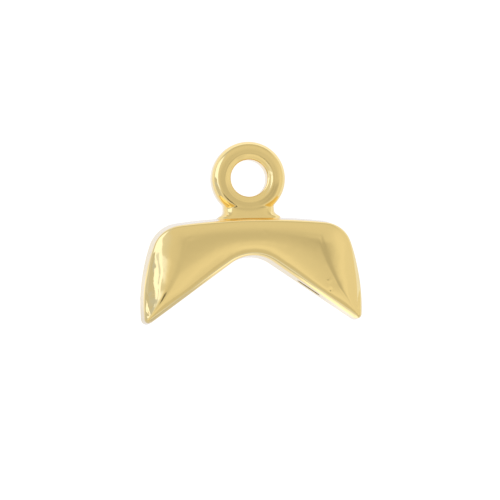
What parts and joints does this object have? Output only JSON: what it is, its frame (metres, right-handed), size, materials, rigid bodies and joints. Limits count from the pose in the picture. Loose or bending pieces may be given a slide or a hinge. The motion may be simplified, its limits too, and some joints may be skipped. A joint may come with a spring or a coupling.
{
  "type": "beadwork end cap",
  "caption": "Cast chevron end cap for beadwork, with a hanging ring on a short neck, a notch that takes the work's end and a hollow back.",
  "frame": {"origin": "under the middle of the piece, on the flat back that it lies on", "axes": "+X to the right across both arms, +Y from the tips towards the ring, +Z out of the polished front"},
  "size_m": [0.012, 0.0098, 0.0029],
  "materials": {
    "gold_plate": "polished gold plate over cast zinc alloy"
  },
  "bodies": {
    "root": {"end_cap": "gold_plate"}
  },
  "joints": []
}
